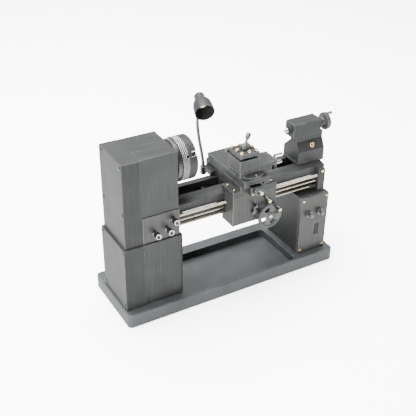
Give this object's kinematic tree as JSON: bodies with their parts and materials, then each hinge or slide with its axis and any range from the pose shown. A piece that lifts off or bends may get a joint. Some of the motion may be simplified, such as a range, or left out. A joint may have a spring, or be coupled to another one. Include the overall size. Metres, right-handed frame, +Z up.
{
  "type": "metal lathe",
  "caption": "Miniature bench-top metal lathe with chip tray, geared headstock, three-jaw chuck, flat bed, carriage with lamp and tool post, and a tailstock.",
  "frame": {"origin": "centre of the chip tray's flat underside", "axes": "+X along the bed from the headstock to the tailstock, +Y to the back of the machine, +Z up"},
  "size_m": [0.2928, 0.118, 0.2263],
  "materials": {
    "machined_grey": "satin gunmetal, fine vertical brushing",
    "dark_panel": "dark satin",
    "black_metal": "satin black",
    "black_plastic": "satin black",
    "bright_steel": "ground",
    "chrome": "polished",
    "nickel_rod": "warm nickel",
    "brass": "polished",
    "belt_rubber": "matte",
    "lamp_lens": "clear warm lens"
  },
  "bodies": {
    "frame": {"base_tray": "machined_grey", "cabinet_housing": "machined_grey", "cabinet_end_cover": "machined_grey", "cabinet_side_plate": "dark_panel", "power_inlet": "black_plastic", "headstock_housing": "machined_grey", "gear_cover": "machined_grey", "gearbox_panel": "dark_panel", "motor": "dark_panel", "rear_bearing": "bright_steel", "front_bearing": "bright_steel", "drive_belt": "belt_rubber", "feed_gearbox": "dark_panel", "bed": "machined_grey", "rack": "bright_steel", "pedestal": "machined_grey", "pedestal_panel": "machined_grey", "panel_inset": "dark_panel", "rod_bracket": "machined_grey"},
    "spindle": {"spindle": "bright_steel", "chuck_backplate": "black_metal", "chuck_body": "machined_grey"},
    "motor_rotor": {"motor_rotor": "bright_steel"},
    "chuck_ring": {"chuck_ring": "bright_steel"},
    "jaw_1": {"jaw_1": "bright_steel"},
    "jaw_2": {"jaw_2": "bright_steel"},
    "jaw_3": {"jaw_3": "bright_steel"},
    "leadscrew": {"leadscrew": "nickel_rod"},
    "feed_rod": {"feed_rod": "nickel_rod"},
    "control_rod": {"control_rod": "nickel_rod"},
    "shift_knob_1": {"shift_knob_1": "chrome"},
    "shift_knob_2": {"shift_knob_2": "chrome"},
    "shift_knob_3": {"shift_knob_3": "chrome"},
    "start_button": {"start_button": "black_plastic"},
    "stop_button": {"stop_button": "black_plastic"},
    "carriage": {"saddle": "machined_grey", "apron": "machined_grey", "lamp_socket": "black_metal", "gooseneck": "machined_grey"},
    "lamp_head": {"lamp_shade": "machined_grey", "lamp_bulb": "lamp_lens"},
    "apron_handwheel": {"apron_handwheel": "machined_grey"},
    "half_nut": {"half_nut": "brass"},
    "half_nut_lever": {"half_nut_lever": "black_metal"},
    "cross_slide": {"cross_slide": "machined_grey"},
    "cross_crank": {"cross_crank": "machined_grey"},
    "compound_base": {"compound_base": "machined_grey"},
    "top_slide": {"top_slide": "machined_grey", "compound_end_plate": "machined_grey"},
    "compound_crank": {"compound_crank": "machined_grey"},
    "tool_post": {"tool_post": "machined_grey", "tool_bit": "bright_steel"},
    "clamp_lever": {"clamp_lever": "machined_grey"},
    "tailstock": {"tailstock_base": "machined_grey", "tailstock_body": "machined_grey"},
    "tailstock_clamp": {"tailstock_clamp_screw": "brass"},
    "quill": {"quill": "bright_steel", "tailstock_centre": "bright_steel"},
    "tailstock_handwheel": {"tailstock_handwheel": "machined_grey"}
  },
  "joints": [
    {"name": "spindle_turn", "type": "hinge", "parent": "frame", "child": "spindle", "pos_m": [0, -0.0045, 0.173], "axis": [1, 0, 0], "continuous": true},
    {"name": "motor_turn", "type": "hinge", "parent": "frame", "child": "motor_rotor", "pos_m": [0, -0.0045, 0.056], "axis": [1, 0, 0], "continuous": true},
    {"name": "chuck_ring_turn", "type": "hinge", "parent": "spindle", "child": "chuck_ring", "pos_m": [0, -0.0045, 0.173], "axis": [1, 0, 0], "range_deg": [-175, 445]},
    {"name": "jaw_1_slide", "type": "slide", "parent": "spindle", "child": "jaw_1", "axis": [0, 0.8829, 0.4695], "range_m": [-0.002, 0.005]},
    {"name": "jaw_2_slide", "type": "slide", "parent": "spindle", "child": "jaw_2", "axis": [0, -0.848, 0.5299], "range_m": [-0.002, 0.005]},
    {"name": "jaw_3_slide", "type": "slide", "parent": "spindle", "child": "jaw_3", "axis": [0, -0.0349, -0.9994], "range_m": [-0.002, 0.005]},
    {"name": "leadscrew_turn", "type": "hinge", "parent": "frame", "child": "leadscrew", "pos_m": [0, -0.027, 0.1155], "axis": [1, 0, 0], "continuous": true},
    {"name": "feed_rod_turn", "type": "hinge", "parent": "frame", "child": "feed_rod", "pos_m": [0, -0.027, 0.1096], "axis": [1, 0, 0], "continuous": true},
    {"name": "control_rod_turn", "type": "hinge", "parent": "frame", "child": "control_rod", "pos_m": [0, -0.027, 0.1034], "axis": [1, 0, 0], "range_deg": [-15, 15]},
    {"name": "shift_knob_1_turn", "type": "hinge", "parent": "frame", "child": "shift_knob_1", "pos_m": [-0.1, -0.034, 0.1084], "axis": [0, 1, 0], "range_deg": [-45, 45]},
    {"name": "shift_knob_2_turn", "type": "hinge", "parent": "frame", "child": "shift_knob_2", "pos_m": [-0.0846, -0.034, 0.1088], "axis": [0, 1, 0], "range_deg": [-45, 45]},
    {"name": "shift_knob_3_turn", "type": "hinge", "parent": "frame", "child": "shift_knob_3", "pos_m": [-0.0779, -0.034, 0.1194], "axis": [0, 1, 0], "range_deg": [-45, 45]},
    {"name": "start_button_press", "type": "slide", "parent": "frame", "child": "start_button", "axis": [0, 1, 0], "range_m": [0, 0.0015], "stiffness_N_per_m": 200},
    {"name": "stop_button_press", "type": "slide", "parent": "frame", "child": "stop_button", "axis": [0, 1, 0], "range_m": [0, 0.0015], "stiffness_N_per_m": 200},
    {"name": "carriage_slide", "type": "slide", "parent": "frame", "child": "carriage", "axis": [1, 0, 0], "range_m": [-0.018, 0.014]},
    {"name": "lamp_tilt", "type": "hinge", "parent": "carriage", "child": "lamp_head", "pos_m": [-0.0087, 0.031, 0.2194], "axis": [1, 0, 0], "range_deg": [-10, 2]},
    {"name": "apron_handwheel_turn", "type": "hinge", "parent": "carriage", "child": "apron_handwheel", "pos_m": [0.039, -0.044, 0.0955], "axis": [0, 1, 0], "range_deg": [-344, 268]},
    {"name": "half_nut_slide", "type": "slide", "parent": "carriage", "child": "half_nut", "axis": [0, 0, -1], "range_m": [0, 0.001]},
    {"name": "half_nut_lever_turn", "type": "hinge", "parent": "carriage", "child": "half_nut_lever", "pos_m": [0.02, -0.043, 0.104], "axis": [0, 1, 0], "range_deg": [-40.01, 0]},
    {"name": "cross_slide_feed", "type": "slide", "parent": "carriage", "child": "cross_slide", "axis": [0, 1, 0], "range_m": [-0.005, 0.008]},
    {"name": "cross_crank_turn", "type": "hinge", "parent": "carriage", "child": "cross_crank", "pos_m": [0.018, -0.051, 0.136], "axis": [0, 1, 0], "range_deg": [-2881, 1801]},
    {"name": "compound_swivel", "type": "hinge", "parent": "cross_slide", "child": "compound_base", "pos_m": [0.018, -0.032, 0.15], "axis": [0, 0, 1], "range_deg": [-30, 5]},
    {"name": "top_slide_feed", "type": "slide", "parent": "compound_base", "child": "top_slide", "axis": [1, 0, 0], "range_m": [-0.004, 0.005]},
    {"name": "compound_crank_turn", "type": "hinge", "parent": "top_slide", "child": "compound_crank", "pos_m": [0.0483, -0.032, 0.1572], "axis": [1, 0, 0], "range_deg": [-1801, 1441]},
    {"name": "tool_post_turn", "type": "hinge", "parent": "top_slide", "child": "tool_post", "pos_m": [0.0116, -0.032, 0.1713], "axis": [0, 0, 1], "range_deg": [-90, 90]},
    {"name": "clamp_lever_turn", "type": "hinge", "parent": "top_slide", "child": "clamp_lever", "pos_m": [0.0116, -0.032, 0.1713], "axis": [0, 0, 1], "range_deg": [0, 60]},
    {"name": "tailstock_slide", "type": "slide", "parent": "frame", "child": "tailstock", "axis": [1, 0, 0], "range_m": [-0.012, 0]},
    {"name": "tailstock_clamp_turn", "type": "hinge", "parent": "tailstock", "child": "tailstock_clamp", "pos_m": [0.1186, -0.013, 0.1507], "axis": [0, -0.8914, 0.4532], "range_deg": [0, 90]},
    {"name": "quill_slide", "type": "slide", "parent": "tailstock", "child": "quill", "axis": [1, 0, 0], "range_m": [-0.01, 0]},
    {"name": "tailstock_handwheel_turn", "type": "hinge", "parent": "tailstock", "child": "tailstock_handwheel", "pos_m": [0.1342, -0.0045, 0.173], "axis": [1, 0, 0], "range_deg": [-3601, 0]}
  ],
  "couplings": [
    {"joint": "motor_turn", "follows": "spindle_turn", "ratio": 2},
    {"joint": "leadscrew_turn", "follows": "spindle_turn", "ratio": 0.5},
    {"joint": "feed_rod_turn", "follows": "spindle_turn", "ratio": 0.25},
    {"joint": "jaw_1_slide", "follows": "chuck_ring_turn", "m_per_rad": 0.00063662},
    {"joint": "jaw_2_slide", "follows": "chuck_ring_turn", "m_per_rad": 0.00063662},
    {"joint": "jaw_3_slide", "follows": "chuck_ring_turn", "m_per_rad": 0.00063662},
    {"joint": "apron_handwheel_turn", "follows": "carriage_slide", "rad_per_m": 333.33},
    {"joint": "half_nut_lever_turn", "follows": "half_nut_slide", "rad_per_m": -698.13},
    {"joint": "cross_crank_turn", "follows": "cross_slide_feed", "rad_per_m": -6283.2},
    {"joint": "compound_crank_turn", "follows": "top_slide_feed", "rad_per_m": -6283.2},
    {"joint": "tailstock_handwheel_turn", "follows": "quill_slide", "rad_per_m": 6283.2}
  ]
}
